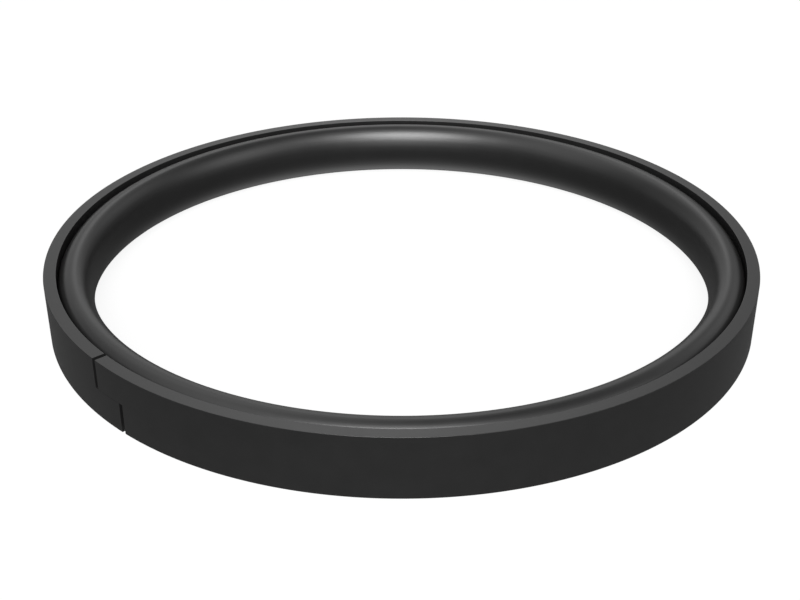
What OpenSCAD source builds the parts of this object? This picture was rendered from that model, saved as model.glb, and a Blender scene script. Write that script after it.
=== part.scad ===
// A double-acting piston seal, lying flat as it would on a bench.
// It has two rings. The outer one is a stiff plastic slide ring, split by a step cut so
// that it can be sprung open over a piston. The inner one is a soft rubber ring of oval
// section, which presses the slide ring outwards against the cylinder.
// The seal's axis is Z, and the slide ring's lower side face lies at z = 0.

/* [Slide ring] */
// Outside diameter, which is the bore of the cylinder that the seal runs in
bore_d = 100; // [60:1:200]
// Height of the ring along its axis
ring_h = 8.3; // [7:0.1:12]
// Thickness of the ring's wall
wall_t = 1.7; // [1.2:0.1:3]
// Width of the small bevel that breaks each long edge
edge_break = 0.05; // [0.02:0.01:0.4]

/* [Step cut] */
// Direction of the middle of the cut, in degrees from +X
cut_angle = 225; // [0:5:355]
// Length of the lap between the two slots, along the outside of the ring
lap_length = 5; // [3:0.25:12]
// Width of each open slot at the ends of the lap
slot_w = 0.6; // [0.2:0.05:1.5]
// Hairline between the two tongues, which all but touch
lap_gap = 0.03; // [0.02:0.01:0.1]

/* [Rubber ring] */
// Radial width of the oval section before its outer side is flattened
cord_w = 5.25; // [4:0.05:6.5]
// Depth by which the slide ring flattens the outer side of the oval
press_depth = 0.55; // [0.2:0.05:1]
// Distance from the crown of the oval in to each side face of the slide ring
crown_inset = 0.03; // [0:0.01:0.5]
// Clearance between the flattened band and the wall that it presses on
seat_gap = 0.02; // [0:0.01:0.1]

/* [Hidden] */
$fn = 256;
// Extra length by which a cutter passes through a face
over = 1;
// Radius of the oval's crowns, as a share of its half width
crown_share = 0.74;

outer_r = bore_d / 2;
wall_r = outer_r - wall_t;
mid_z = ring_h / 2;

lap_deg = lap_length / outer_r * 180 / PI;
upper_slot_deg = cut_angle - lap_deg / 2;
lower_slot_deg = cut_angle + lap_deg / 2;

seat_r = wall_r - seat_gap;
cord_h = ring_h - 2 * crown_inset;
cord_mid_r = seat_r + press_depth - cord_w / 2;

crown_r = crown_share * cord_w / 2;
crown_z = cord_h / 2 - crown_r;
// A long arc runs into the crowns without a corner at this radius
side_r = (pow(cord_w, 2) / 4 + pow(cord_h, 2) / 4 - cord_h * crown_r) / (cord_w - 2 * crown_r);
side_x = side_r - cord_w / 2;
join_z = crown_z * side_r / (side_r - crown_r);

// Half of the slide ring's section, in the plane of radius and height: a tall
// rectangle with each corner bevelled.
module slide_section() {
    b = edge_break;
    polygon([
        [wall_r + b, 0],
        [outer_r - b, 0],
        [outer_r, b],
        [outer_r, ring_h - b],
        [outer_r - b, ring_h],
        [wall_r + b, ring_h],
        [wall_r, ring_h - b],
        [wall_r, b]
    ]);
}

// One saw slot: a radial cut through the wall from z = low up to z = high.
module slot(angle, low, high) {
    rotate([0, 0, angle])
        translate([wall_r - over, -slot_w / 2, low])
            cube([wall_t + 2 * over, slot_w, high - low]);
}

// The flat cut at half height that frees the two tongues from each other. It runs
// from the middle of one slot to the middle of the other.
module lap_cut() {
    rotate([0, 0, upper_slot_deg])
        rotate_extrude(angle = lap_deg)
            translate([wall_r - over, mid_z - lap_gap / 2])
                square([wall_t + 2 * over, lap_gap]);
}

// The three cuts together leave a stepped joint: a slot down to half height, the flat
// cut along the lap, and a slot from half height to the other side.
module step_cut() {
    slot(upper_slot_deg, mid_z - lap_gap / 2, ring_h + over);
    slot(lower_slot_deg, -over, mid_z + lap_gap / 2);
    lap_cut();
}

module slide_ring() {
    color([0.17, 0.17, 0.17])
        difference() {
            rotate_extrude() slide_section();
            step_cut();
        }
}

// The oval that a round cord takes when it is squeezed: a small arc for each crown and
// a long one for each side, drawn round the origin.
module oval() {
    for (side = [-1, 1])
        translate([0, side * crown_z])
            circle(r = crown_r);
    intersection() {
        translate([-side_x, 0])
            circle(r = side_r);
        translate([side_x, 0])
            circle(r = side_r);
        square([cord_w + over, 2 * join_z], center = true);
    }
}

// The rubber's section: an oval as high as the seal, cut straight on its outer side
// where the slide ring presses on it.
module cord_section() {
    intersection() {
        translate([cord_mid_r, mid_z])
            oval();
        translate([cord_mid_r - cord_w, -over])
            square([seat_r - cord_mid_r + cord_w, ring_h + 2 * over]);
    }
}

module energiser_ring() {
    color([0.13, 0.13, 0.13])
        rotate_extrude() cord_section();
}

slide_ring();
energiser_ring();
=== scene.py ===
"""Dresses a piston seal: a split plastic slide ring around an oval rubber ring.

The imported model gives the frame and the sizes. Each ring gets a finished surface,
worked out as grids of points, and a finish of its own. All lengths are in metres,
with the seal's axis along Z and the slide ring's lower side face at z = 0.
"""

import logging
import math
from dataclasses import dataclass, field, replace
from enum import Enum

import bpy
import numpy as np
from mathutils import Matrix, Vector


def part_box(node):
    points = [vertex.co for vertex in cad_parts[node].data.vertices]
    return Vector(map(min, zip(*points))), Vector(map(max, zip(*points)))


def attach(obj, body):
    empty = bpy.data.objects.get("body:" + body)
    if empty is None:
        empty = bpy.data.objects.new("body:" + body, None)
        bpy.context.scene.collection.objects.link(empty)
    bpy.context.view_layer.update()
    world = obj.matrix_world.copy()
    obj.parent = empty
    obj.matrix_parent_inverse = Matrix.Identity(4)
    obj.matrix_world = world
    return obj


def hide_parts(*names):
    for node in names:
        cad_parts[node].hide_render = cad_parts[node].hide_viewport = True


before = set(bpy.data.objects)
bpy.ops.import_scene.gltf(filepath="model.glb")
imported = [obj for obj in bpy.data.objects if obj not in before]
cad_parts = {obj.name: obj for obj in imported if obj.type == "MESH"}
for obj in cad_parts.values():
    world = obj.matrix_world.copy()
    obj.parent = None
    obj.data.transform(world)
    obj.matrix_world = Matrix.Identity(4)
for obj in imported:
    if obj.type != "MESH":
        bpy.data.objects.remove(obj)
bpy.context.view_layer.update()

LOG = logging.getLogger("piston_seal")
MM = 0.001
MICRON = 1e-6
# Edges that turn more than this many degrees are shaded as corners
CORNER_DEG = 40.0
# How many sizes of cloud, each half the one before, a pattern adds to its largest
CLOUD_DETAIL = 3.0
# The blend at which Layer Weight's Facing is 1 less the cosine of the slant
PLAIN_BLEND = 0.5
WHITE = (1.0, 1.0, 1.0, 1.0)


class Node(Enum):
    """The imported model's nodes, by the ring that each one holds."""

    SLIDE_RING = "slide_ring"
    ENERGISER_RING = "energiser_ring"

    def reach(self) -> float:
        """Gives the radius that the node fills on every side."""
        low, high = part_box(self.value)
        return min(-low.x, -low.y, high.x, high.y)

    def heights(self) -> tuple[float, float]:
        """Gives the node's lowest and highest point."""
        low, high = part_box(self.value)
        return low.z, high.z


@dataclass
class Skin:
    """Grids of points that meet along their edges, joined into one closed mesh.

    Attributes:
        weld: Points that round to the same multiple of this length become one. It is
            an odd length, so that no size of the seal lies halfway between two.
        points: One array of points for each grid added so far.
        quads: One array of faces for each grid added so far.
        count: How many points the grids hold so far.
    """

    weld: float = 0.137 * MICRON
    points: list[np.ndarray] = field(default_factory=list)
    quads: list[np.ndarray] = field(default_factory=list)
    count: int = 0

    def add(self, grid: np.ndarray, flip: bool = False) -> None:
        """Adds the faces between each point of a grid and its neighbours.

        Seen from outside, rows run to the right and columns run up. Where the last
        row or column repeats the first, the weld closes the seam.

        Args:
            grid: Points as rows by columns by three.
            flip: Turns the faces over, for a grid that runs the other way.
        """
        rows, columns = grid.shape[:2]
        index = np.arange(rows * columns).reshape(rows, columns) + self.count
        corners = [index[:-1, :-1], index[1:, :-1], index[1:, 1:], index[:-1, 1:]]
        quads = np.stack(corners[::-1] if flip else corners, axis=-1)
        self.points.append(grid.reshape(-1, 3))
        self.quads.append(quads.reshape(-1, 4))
        self.count += rows * columns

    def mesh(self, name: str) -> bpy.types.Mesh:
        """Welds the grids and makes the mesh.

        Args:
            name: The mesh's name.

        Returns:
            A mesh with smooth faces, parted along each edge that is a corner.
        """
        points = np.concatenate(self.points)
        keys = np.round(points / self.weld).astype(np.int64)
        _, first, place = np.unique(keys, axis=0, return_index=True, return_inverse=True)
        faces = place.reshape(-1)[np.concatenate(self.quads)].astype(np.int32)
        mesh = bpy.data.meshes.new(name)
        mesh.vertices.add(len(first))
        mesh.vertices.foreach_set("co", points[first].astype(np.float32).ravel())
        mesh.loops.add(faces.size)
        mesh.loops.foreach_set("vertex_index", faces.ravel())
        mesh.polygons.add(len(faces))
        mesh.polygons.foreach_set("loop_start", np.arange(0, faces.size, 4, dtype=np.int32))
        mesh.update(calc_edges=True)
        mesh.polygons.foreach_set("use_smooth", np.ones(len(faces), dtype=bool))
        mesh.set_sharp_from_angle(angle=math.radians(CORNER_DEG))
        return mesh


def turned(section: np.ndarray, azimuth: np.ndarray) -> np.ndarray:
    """Carries a section round the seal's axis.

    A point of radius r and height z goes to (r cos t, r sin t, z) at azimuth t.

    Args:
        section: Radius and height of each point, as points by two.
        azimuth: Angles in radians, as steps by points, or as steps by one.

    Returns:
        The grid of points, as steps by points by three.
    """
    radius = np.broadcast_to(section[:, 0], (len(azimuth), len(section)))
    height = np.broadcast_to(section[:, 1], radius.shape)
    return np.stack([radius * np.cos(azimuth), radius * np.sin(azimuth), height], axis=-1)


def dressed(skin: Skin, node: Node, material: bpy.types.Material) -> bpy.types.Object:
    """Makes a ring's finished piece, which takes the place of its node.

    Args:
        skin: The ring's surface.
        node: The node that the piece stands for.
        material: The ring's finish.

    Returns:
        The piece, riding on the seal's one body.
    """
    name = f"{node.value}_dressed"
    piece = bpy.data.objects.new(name, skin.mesh(name))
    bpy.context.scene.collection.objects.link(piece)
    piece.data.materials.append(material)
    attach(piece, "root")
    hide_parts(node.value)
    return piece


class NodeSheet:
    """The node tree of a material or a world, with short calls to fill it."""

    def __init__(self, owner: bpy.types.Material | bpy.types.World) -> None:
        """Starts an empty tree on its owner.

        Args:
            owner: The material or world that holds the tree.
        """
        owner.use_nodes = True
        self.tree = owner.node_tree
        self.tree.nodes.clear()

    def add(self, kind: str, inputs: dict | None = None, **settings: object) -> bpy.types.Node:
        """Adds a node.

        Args:
            kind: The node's type, without its ShaderNode prefix.
            inputs: Socket name or number to a value, or to another node's output.
            settings: The node's own settings, by name.

        Returns:
            The new node.
        """
        node = self.tree.nodes.new("ShaderNode" + kind)
        for name, value in settings.items():
            setattr(node, name, value)
        for name, value in (inputs or {}).items():
            if isinstance(value, bpy.types.NodeSocket):
                self.tree.links.new(value, node.inputs[name])
            else:
                node.inputs[name].default_value = value
        return node

    def reckon(self, operation: str, *values: object) -> bpy.types.NodeSocket:
        """Adds a Math node on numbers and sockets, and gives its result."""
        return self.add("Math", dict(enumerate(values)), operation=operation).outputs[0]

    def clouds(self, place: bpy.types.NodeSocket, size: float) -> bpy.types.NodeSocket:
        """Adds a pattern from 0 to 1, read at a place, whose clouds are about size wide."""
        inputs = {"Vector": place, "Scale": 1 / size, "Detail": CLOUD_DETAIL}
        return self.add("TexNoise", inputs, noise_dimensions="3D").outputs["Fac"]

    def bent(self, height: bpy.types.NodeSocket, depth: float,
             under: bpy.types.NodeSocket | None = None) -> bpy.types.NodeSocket:
        """Bends the surface's normal as a relief does.

        Args:
            height: The relief's pattern, from 0 to 1.
            depth: The relief's height where the pattern is 1.
            under: The normal to bend, if another relief lies below this one.

        Returns:
            The bent normal.
        """
        inputs = {"Height": height, "Distance": depth}
        if under:
            inputs["Normal"] = under
        return self.add("Bump", inputs).outputs["Normal"]

    def in_view(self, in_gloss: bpy.types.NodeSocket, as_light: float) -> bpy.types.NodeSocket:
        """Tells what is seen from what only lights the seal.

        Args:
            in_gloss: The brightness where it is seen in a gloss.
            as_light: The brightness as a light.

        Returns:
            1 where it is seen straight or through glass, else one of the two others.
        """
        rays = self.add("LightPath").outputs
        straight = self.reckon("MAXIMUM", rays["Is Camera Ray"], rays["Is Transmission Ray"])
        ends = {"Value": rays["Is Glossy Ray"], "To Min": as_light, "To Max": in_gloss}
        return self.reckon("MAXIMUM", straight, self.add("MapRange", ends).outputs["Result"])


@dataclass(frozen=True)
class Finish:
    """A ring's finish: a dark body colour with a gloss, both slightly uneven.

    Attributes:
        name: The material's name.
        colour: Linear red, green and blue of the body colour.
        mottle: How much darker the darkest patches are, as a share of the colour.
        mottle_size: About how wide a patch is.
        roughness: Lowest and highest roughness of the gloss.
        ior: Index of refraction, which sets the strength of the gloss.
        grain_size: About how wide a grain of the surface is.
        grain_depth: Height of the grain.
        ring_pitch: About how far apart the faint rings round the axis are.
        ring_depth: Height of the rings.
    """

    name: str
    colour: tuple[float, float, float]
    mottle: float
    mottle_size: float
    roughness: tuple[float, float]
    ior: float
    grain_size: float
    grain_depth: float
    ring_pitch: float
    ring_depth: float

    def relief(self, sheet: NodeSheet, place: bpy.types.NodeSocket) -> bpy.types.NodeSocket:
        """Gives the normal that the grain bends on top of the rings.

        The rings are a cloudy pattern read at the point's radius and height alone, so
        it is the same all the way round the axis.

        Args:
            sheet: The material's nodes.
            place: The point on the piece.

        Returns:
            The bent normal.
        """
        axes = sheet.add("SeparateXYZ", {"Vector": place}).outputs
        level = sheet.add("CombineXYZ", {"X": axes["X"], "Y": axes["Y"]}).outputs["Vector"]
        radius = sheet.add("VectorMath", {0: level}, operation="LENGTH").outputs["Value"]
        section = sheet.add("CombineXYZ", {"X": radius, "Y": axes["Z"]}).outputs["Vector"]
        rings = sheet.bent(sheet.clouds(section, self.ring_pitch), self.ring_depth)
        return sheet.bent(sheet.clouds(place, self.grain_size), self.grain_depth, rings)

    def material(self) -> bpy.types.Material:
        """Builds the finish, where one cloudy pattern sets both colour and roughness.

        Returns:
            The material.
        """
        material = bpy.data.materials.new(self.name)
        sheet = NodeSheet(material)
        place = sheet.add("TexCoord").outputs["Object"]
        patches = sheet.clouds(place, self.mottle_size)
        body = sheet.add("ValToRGB", {"Fac": patches})
        darkest, lightest = body.color_ramp.elements
        darkest.color = (*(part * (1 - self.mottle) for part in self.colour), 1.0)
        lightest.color = (*self.colour, 1.0)
        low, high = self.roughness
        gloss = sheet.add("MapRange", {"Value": patches, "To Min": low, "To Max": high})
        surface = {
            "Base Color": body.outputs["Color"],
            "Roughness": gloss.outputs["Result"],
            "IOR": self.ior,
            "Normal": self.relief(sheet, place),
        }
        shader = sheet.add("BsdfPrincipled", surface)
        sheet.add("OutputMaterial", {"Surface": shader.outputs["BSDF"]})
        return material


@dataclass
class SlideRing:
    """The outer ring: a rectangular section with finely rounded edges and a step cut.

    Attributes:
        finish: The ring's finish.
        wall_r: Radius of the inner wall.
        edge_r: Radius of the long edges.
        cut_deg: Direction of the middle of the cut, in degrees from +X.
        lap_length: Distance between the two slots, along the outside of the ring.
        slot_w: Width of each slot.
        lap_gap: Hairline between the two tongues.
        step_deg: Angle between two sections, in degrees.
        edge_faces: Faces across each rounded edge.
        flat_lines: Lines of points across each flat, between its margins.
        margin: Width of the narrow faces beside each edge, which keep the flats flat.
    """

    finish: Finish
    wall_r: float = 48.3 * MM
    edge_r: float = 0.05 * MM
    cut_deg: float = 225.0
    lap_length: float = 5.0 * MM
    slot_w: float = 0.6 * MM
    lap_gap: float = 0.03 * MM
    step_deg: float = 0.5
    edge_faces: int = 4
    flat_lines: int = 5
    margin: float = 0.05 * MM

    def __post_init__(self) -> None:
        """Takes the height and the outside radius from the node, and places the slots."""
        self.outer_r = Node.SLIDE_RING.reach()
        self.low, self.high = Node.SLIDE_RING.heights()
        self.middle = (self.low + self.high) / 2
        half_lap = self.lap_length / self.outer_r / 2
        self.upper_slot = math.radians(self.cut_deg) - half_lap
        self.lower_slot = math.radians(self.cut_deg) + half_lap

    def outside(self) -> np.ndarray:
        """Gives the outer side from the upper edge of the hairline to the flat top.

        The wall is straight. The edge is a quarter circle: at angle a its point lies at
        the edge's radius times (cos a, sin a) from the circle's middle.

        Returns:
            Radius and height of each point, from the bottom up.
        """
        start = self.middle + self.lap_gap / 2
        bend = self.high - self.edge_r
        flat = np.linspace(start + self.margin, bend - self.margin, self.flat_lines)
        heights = [start, *flat]
        wall = np.stack([np.full(len(heights), self.outer_r), heights], axis=-1)
        angle = np.linspace(0, math.pi / 2, self.edge_faces + 1)
        edge = np.stack([np.cos(angle), np.sin(angle)], axis=-1) * self.edge_r
        return np.concatenate([wall, edge + [self.outer_r - self.edge_r, bend]])

    def spanned(self, outer: np.ndarray) -> np.ndarray:
        """Gives points on the straight lines through the wall, from outside to inside.

        Each outer point is joined to its mirror image about the middle of the wall. A
        point at share s of the way lies at the outer point plus s times the way.

        Args:
            outer: Radius and height of points on the outer side.

        Returns:
            Radius and height, as shares by points by two.
        """
        narrow = self.margin / (self.outer_r - self.wall_r)
        flat = np.linspace(narrow, 1 - narrow, self.flat_lines)
        share = np.array([0.0, *flat, 1.0])[:, None, None]
        inner = outer * [-1, 1] + [self.outer_r + self.wall_r, 0]
        return outer + (inner - outer) * share

    def below(self, points: np.ndarray) -> np.ndarray:
        """Gives the mirror image of a section's points about half height."""
        return points * [1, -1] + [0, 2 * self.middle]

    def arch(self) -> np.ndarray:
        """Gives the upper half of the section: up the outside, over the top and down."""
        lines = self.spanned(self.outside())
        return np.concatenate([lines[0], lines[1:-1, -1], lines[-1, ::-1]])

    def between_slots(self, section: np.ndarray, begin: float, end: float,
                      end_side: int) -> np.ndarray:
        """Carries a section from the far side of one slot to a side of another.

        A slot's side is a plane beside a radial one, half the slot's width away. At
        radius r it is turned from it by the arc sine of half the width over r.

        Args:
            section: Radius and height of each point.
            begin: Azimuth of the first slot's middle.
            end: Azimuth of the second slot's middle.
            end_side: 1 to go across the second slot, or -1 to stop before it.

        Returns:
            The grid of points.
        """
        turn = np.arcsin(self.slot_w / 2 / section[:, 0])
        count = math.ceil(math.degrees(end - begin) / self.step_deg)
        share = np.linspace(0, 1, count + 1)[:, None]
        return turned(section, begin + turn + (end - begin + (end_side - 1) * turn) * share)

    def beside_slot(self, face: np.ndarray, slot: float) -> np.ndarray:
        """Stands a flat grid on the far side of a slot.

        Args:
            face: Radius and height of the face's points, as rows by columns by two.
            slot: Azimuth of the slot's middle.

        Returns:
            The grid of points.
        """
        radius, height = face[..., 0], face[..., 1]
        azimuth = slot + np.arcsin(self.slot_w / 2 / radius)
        return np.stack([radius * np.cos(azimuth), radius * np.sin(azimuth), height], axis=-1)

    def body(self) -> np.ndarray:
        """Gives the whole section's outline, carried the long way from slot to slot.

        Returns:
            The grid of points.
        """
        arch = self.arch()
        loop = np.concatenate([arch, self.below(arch)[::-1], arch[:1]])
        return self.between_slots(loop, self.lower_slot, self.upper_slot + 2 * math.pi, -1)

    def tongue(self) -> list[tuple[np.ndarray, bool]]:
        """Gives the upper tongue: its skin, its flat underside, its tip and its root.

        The root is the body's end face under the tongue, which is the lower slot's side.

        Returns:
            Each grid of points, with whether its faces are turned over.
        """
        outside = self.outside()
        lines = self.spanned(outside)
        root = self.spanned(np.concatenate([outside[:1], self.below(outside)]))
        ends = self.upper_slot, self.lower_slot
        return [
            (self.between_slots(self.arch(), *ends, 1), False),
            (self.between_slots(lines[:, 0], *ends, 1), True),
            (self.beside_slot(lines, self.upper_slot), True),
            (self.beside_slot(root, self.lower_slot), False),
        ]

    def turned_over(self, grid: np.ndarray) -> np.ndarray:
        """Turns a grid half over about the radial line through the middle of the cut.

        With a the line's direction, an arm from the ring's middle becomes twice its
        part along a, less the arm.

        Args:
            grid: Points as rows by columns by three.

        Returns:
            The turned grid.
        """
        angle = math.radians(self.cut_deg)
        line = np.array([math.cos(angle), math.sin(angle), 0.0])
        centre = np.array([0.0, 0.0, self.middle])
        arm = grid - centre
        return centre + 2 * (arm @ line)[..., None] * line - arm

    def build(self) -> bpy.types.Object:
        """Builds the ring, whose lower tongue is the upper one turned over.

        Returns:
            The ring's piece.
        """
        skin = Skin()
        skin.add(self.body())
        for grid, flip in self.tongue():
            skin.add(grid, flip)
            skin.add(self.turned_over(grid), flip)
        return dressed(skin, Node.SLIDE_RING, self.finish.material())


@dataclass
class EnergiserRing:
    """The rubber ring: an oval section, pressed flat on its outer side by the wall.

    Attributes:
        finish: The ring's finish.
        middle_r: Radius of the middle of the oval.
        half_width: Half the radial width of the oval.
        bend: Length over which the oval runs into its flat band.
        sections: Sections round the axis.
        section_points: Points round each section.
    """

    finish: Finish
    middle_r: float = 46.205 * MM
    half_width: float = 2.625 * MM
    bend: float = 0.15 * MM
    sections: int = 720
    section_points: int = 96

    def section(self) -> np.ndarray:
        """Gives the oval.

        At angle a the oval's point lies at half the width times cos a and half the
        height times sin a from its middle. The flat band limits the radius: of radius r
        and limit m, half of (r + m - root of ((r - m) squared + bend squared)) is kept,
        which runs from one into the other without a corner.

        Returns:
            Radius and height of each point. The last repeats the first.
        """
        low, high = Node.ENERGISER_RING.heights()
        limit = Node.ENERGISER_RING.reach()
        angle = np.linspace(0, 2 * math.pi, self.section_points + 1)
        radius = self.middle_r + self.half_width * np.cos(angle)
        radius = (radius + limit - np.hypot(radius - limit, self.bend)) / 2
        height = (low + high) / 2 + (high - low) / 2 * np.sin(angle)
        return np.stack([radius, height], axis=-1)

    def build(self) -> bpy.types.Object:
        """Builds the ring, a section carried once round the axis.

        Returns:
            The ring's piece.
        """
        skin = Skin()
        azimuth = np.linspace(0, 2 * math.pi, self.sections + 1)[:, None]
        skin.add(turned(self.section(), azimuth))
        return dressed(skin, Node.ENERGISER_RING, self.finish.material())


def bearing(azimuth_deg: float, elevation_deg: float) -> Vector:
    """Gives a direction as a vector of length 1.

    Args:
        azimuth_deg: Angle from +X towards +Y, in degrees.
        elevation_deg: Angle above the floor, in degrees.

    Returns:
        The vector, (cos e cos a, cos e sin a, sin e) for azimuth a and elevation e.
    """
    azimuth, elevation = math.radians(azimuth_deg), math.radians(elevation_deg)
    level = math.cos(elevation)
    return Vector((level * math.cos(azimuth), level * math.sin(azimuth), math.sin(elevation)))


@dataclass(frozen=True)
class Panel:
    """A round soft lamp that faces the seal.

    Attributes:
        name: The lamp's name.
        azimuth_deg: Direction from the seal to the lamp, in degrees from +X.
        elevation_deg: Angle of the lamp above the floor.
        spread_deg: Angle that the lamp fills, seen from the seal.
        glow: Brightness of its face, where 1 shows white.
        gloss_only: Whether it shows only as a reflection and lights nothing else.
        distance: From the seal's middle to the lamp.
    """

    name: str
    azimuth_deg: float
    elevation_deg: float
    spread_deg: float
    glow: float
    gloss_only: bool = False
    distance: float = 2.5

    def build(self) -> bpy.types.Object:
        """Builds the lamp. Its power is four times its area times its brightness.

        Returns:
            The lamp, turned towards the seal's middle.
        """
        width = 2 * self.distance * math.tan(math.radians(self.spread_deg) / 2)
        lamp = bpy.data.lights.new(self.name, "AREA")
        lamp.shape = "DISK"
        lamp.size = width
        lamp.energy = 4 * math.pi * (width / 2) ** 2 * self.glow
        way = bearing(self.azimuth_deg, self.elevation_deg)
        holder = bpy.data.objects.new(self.name, lamp)
        holder.location = way * self.distance
        holder.rotation_euler = (-way).to_track_quat("-Z", "Y").to_euler()
        holder.visible_camera = False
        holder.visible_diffuse = not self.gloss_only
        bpy.context.scene.collection.objects.link(holder)
        return holder


@dataclass(frozen=True)
class Glow:
    """A soft bright patch of the sky.

    Attributes:
        azimuth_deg: Direction from the seal to the patch, in degrees from +X.
        elevation_deg: Angle of the patch above the floor.
        strength: Brightness of its middle, where 1 shows white.
        tightness: How fast the patch fades away from its middle.
    """

    azimuth_deg: float
    elevation_deg: float
    strength: float
    tightness: float = 20.0

    def towards(self, sheet: NodeSheet, way: bpy.types.NodeSocket) -> bpy.types.NodeSocket:
        """Gives the patch's brightness in a direction.

        At angle a from the middle of the patch it is the strength times e to the power
        of the tightness times (cos a - 1).

        Args:
            sheet: The sky's nodes.
            way: The direction.

        Returns:
            The brightness.
        """
        middle = bearing(self.azimuth_deg, self.elevation_deg)
        near = sheet.add("VectorMath", {0: way, 1: middle}, operation="DOT_PRODUCT")
        fade = sheet.reckon("SUBTRACT", near.outputs["Value"], 1.0)
        power = sheet.reckon("MULTIPLY", fade, self.tightness)
        return sheet.reckon("MULTIPLY", sheet.reckon("EXPONENT", power), self.strength)


@dataclass(frozen=True)
class Studio:
    """The plain white surroundings: sky, floor and lamps.

    Attributes:
        panels: The lamps.
        glows: The bright patches of the sky, which only a gloss shows.
        sky_light: Brightness of the sky as a light, where 1 is white.
        floor_colour: Grey of the floor, which the light falls on.
        floor_glow: What is added to the floor where it is seen, to make it white.
        floor_in_gloss: Share of that which a gloss shows at a low angle.
        floor_in_steep_gloss: Share that a gloss adds where it looks straight down.
        steepness: Power of the sine of the angle that this share grows with.
        floor_half_width: Half the side of the square floor.
        floor_drop: How far the floor lies below the seal.
    """

    panels: tuple[Panel, ...]
    glows: tuple[Glow, ...]
    sky_light: float = 0.3
    floor_colour: float = 0.1
    floor_glow: float = 0.905
    floor_in_gloss: float = 0.02
    floor_in_steep_gloss: float = 1.75
    steepness: float = 6.0
    floor_half_width: float = 3.0
    floor_drop: float = 10 * MICRON

    def sky(self) -> bpy.types.World:
        """Builds the sky: white where it is seen, and softer as a light.

        Returns:
            The world that holds the sky.
        """
        world = bpy.data.worlds.new("sky")
        sheet = NodeSheet(world)
        way = sheet.add("TexCoord").outputs["Generated"]
        in_gloss = 0.0
        for glow in self.glows:
            in_gloss = sheet.reckon("ADD", in_gloss, glow.towards(sheet, way))
        strength = sheet.in_view(in_gloss, self.sky_light)
        sky = sheet.add("Background", {"Color": WHITE, "Strength": strength})
        sheet.add("OutputWorld", {"Surface": sky.outputs["Background"]})
        return world

    def floor_finish(self) -> bpy.types.Material:
        """Builds the floor's finish: matt from above, and nothing at all from below.

        Returns:
            The material.
        """
        material = bpy.data.materials.new("floor_white")
        sheet = NodeSheet(material)
        grey = (self.floor_colour, self.floor_colour, self.floor_colour, 1.0)
        matt = sheet.add("BsdfDiffuse", {"Color": grey}).outputs["BSDF"]
        slant = sheet.add("LayerWeight", {"Blend": PLAIN_BLEND}).outputs["Facing"]
        steep = sheet.reckon("POWER", sheet.reckon("SUBTRACT", 1.0, slant), self.steepness)
        in_gloss = sheet.reckon(
            "MULTIPLY_ADD", steep, self.floor_in_steep_gloss, self.floor_in_gloss)
        glow = sheet.reckon("MULTIPLY", sheet.in_view(in_gloss, 0.0), self.floor_glow)
        light = sheet.add("Emission", {"Strength": glow}).outputs["Emission"]
        top = sheet.add("AddShader", {0: matt, 1: light}).outputs["Shader"]
        clear = sheet.add("BsdfTransparent").outputs["BSDF"]
        side = sheet.add("NewGeometry").outputs["Backfacing"]
        sides = sheet.add("MixShader", {0: side, 1: top, 2: clear}).outputs["Shader"]
        sheet.add("OutputMaterial", {"Surface": sides})
        return material

    def floor(self) -> bpy.types.Object:
        """Builds the floor, a level square just under the seal.

        Returns:
            The floor, which rides on no body of the seal.
        """
        reach = np.array([-self.floor_half_width, self.floor_half_width])
        x, y = np.meshgrid(reach, reach, indexing="ij")
        skin = Skin()
        skin.add(np.stack([x, y, np.full_like(x, -self.floor_drop)], axis=-1))
        floor = bpy.data.objects.new("floor", skin.mesh("floor"))
        floor.data.materials.append(self.floor_finish())
        bpy.context.scene.collection.objects.link(floor)
        return floor

    def build(self) -> None:
        """Builds the floor and the lamps, and sets the sky."""
        bpy.context.scene.world = self.sky()
        self.floor()
        for panel in self.panels:
            panel.build()
            LOG.info("lamp %s at elevation %g", panel.name, panel.elevation_deg)


@dataclass(frozen=True)
class Viewpoint:
    """The camera, where the photographer stood.

    Attributes:
        place: The camera's own place.
        aim: The point in the middle of the picture.
        roll_deg: Turn of the camera about its line of sight.
        lens_mm: Focal length.
        sensor_mm: Width of the sensor.
    """

    place: tuple[float, float, float] = (0.0, -163.05 * MM, 86.52 * MM)
    aim: tuple[float, float, float] = (-0.215 * MM, 0.0, -1.755 * MM)
    roll_deg: float = -0.032
    lens_mm: float = 56.58
    sensor_mm: float = 36.0

    def build(self) -> bpy.types.Object:
        """Builds the camera and makes it the scene's own.

        Returns:
            The camera.
        """
        camera = bpy.data.cameras.new("viewpoint")
        camera.lens = self.lens_mm
        camera.sensor_width = self.sensor_mm
        camera.clip_start = 1 * MM
        holder = bpy.data.objects.new("viewpoint", camera)
        sight = (Vector(self.aim) - Vector(self.place)).to_track_quat("-Z", "Y").to_matrix()
        roll = Matrix.Rotation(math.radians(self.roll_deg), 3, "Z")
        holder.matrix_world = Matrix.Translation(self.place) @ (sight @ roll).to_4x4()
        bpy.context.scene.collection.objects.link(holder)
        bpy.context.scene.camera = holder
        return holder


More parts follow.
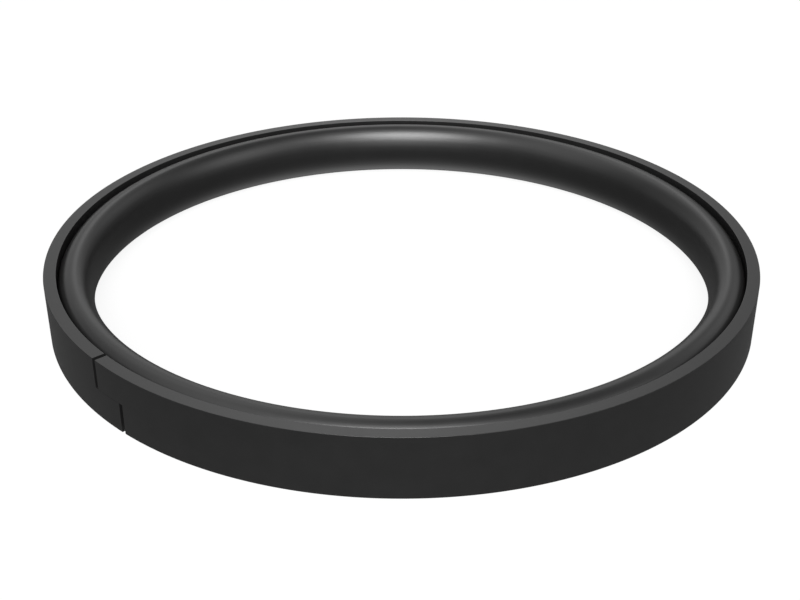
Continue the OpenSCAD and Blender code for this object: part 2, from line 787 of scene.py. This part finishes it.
NYLON = Finish(
    name="turned_black_nylon",
    colour=(0.014, 0.014, 0.014),
    mottle=0.25,
    mottle_size=2.5 * MM,
    roughness=(0.3, 0.36),
    ior=1.5,
    grain_size=0.12 * MM,
    grain_depth=1.5 * MICRON,
    ring_pitch=0.1 * MM,
    ring_depth=1.0 * MICRON,
)

RUBBER = Finish(
    name="moulded_black_rubber",
    colour=(0.012, 0.012, 0.012),
    mottle=0.2,
    mottle_size=3.0 * MM,
    roughness=(0.33, 0.37),
    ior=1.5,
    grain_size=0.15 * MM,
    grain_depth=1.0 * MICRON,
    ring_pitch=0.4 * MM,
    ring_depth=10.0 * MICRON,
)

KEY = Panel("key", azimuth_deg=-92.3, elevation_deg=45.0, spread_deg=33.0, glow=11.5)

STUDIO = Studio(
    panels=(KEY, replace(KEY, name="key_sheen", glow=10.5, gloss_only=True)),
    glows=(
        Glow(azimuth_deg=-90.0, elevation_deg=8.0, strength=1.75),
        Glow(azimuth_deg=-90.0, elevation_deg=75.0, strength=1.07),
        Glow(azimuth_deg=-20.0, elevation_deg=30.0, strength=2.75),
        Glow(azimuth_deg=40.0, elevation_deg=30.0, strength=0.89),
        Glow(azimuth_deg=65.0, elevation_deg=30.0, strength=0.27),
        Glow(azimuth_deg=90.0, elevation_deg=36.0, strength=1.84, tightness=60.0),
        Glow(azimuth_deg=90.0, elevation_deg=8.0, strength=0.7),
        Glow(azimuth_deg=120.0, elevation_deg=8.0, strength=0.6),
        Glow(azimuth_deg=120.0, elevation_deg=55.0, strength=1.71),
        Glow(azimuth_deg=150.0, elevation_deg=8.0, strength=0.5),
        Glow(azimuth_deg=180.0, elevation_deg=55.0, strength=1.31),
        Glow(azimuth_deg=-160.0, elevation_deg=30.0, strength=1.25),
    ),
)


def main() -> None:
    """Builds the camera, the studio and the two rings."""
    logging.basicConfig(level=logging.INFO, format="%(name)s: %(message)s")
    bpy.context.scene.view_settings.view_transform = "Standard"
    Viewpoint().build()
    STUDIO.build()
    for ring in (SlideRing(NYLON), EnergiserRing(RUBBER)):
        piece = ring.build()
        LOG.info("%s has %d faces", piece.name, len(piece.data.polygons))


if __name__ == "__main__":
    main()
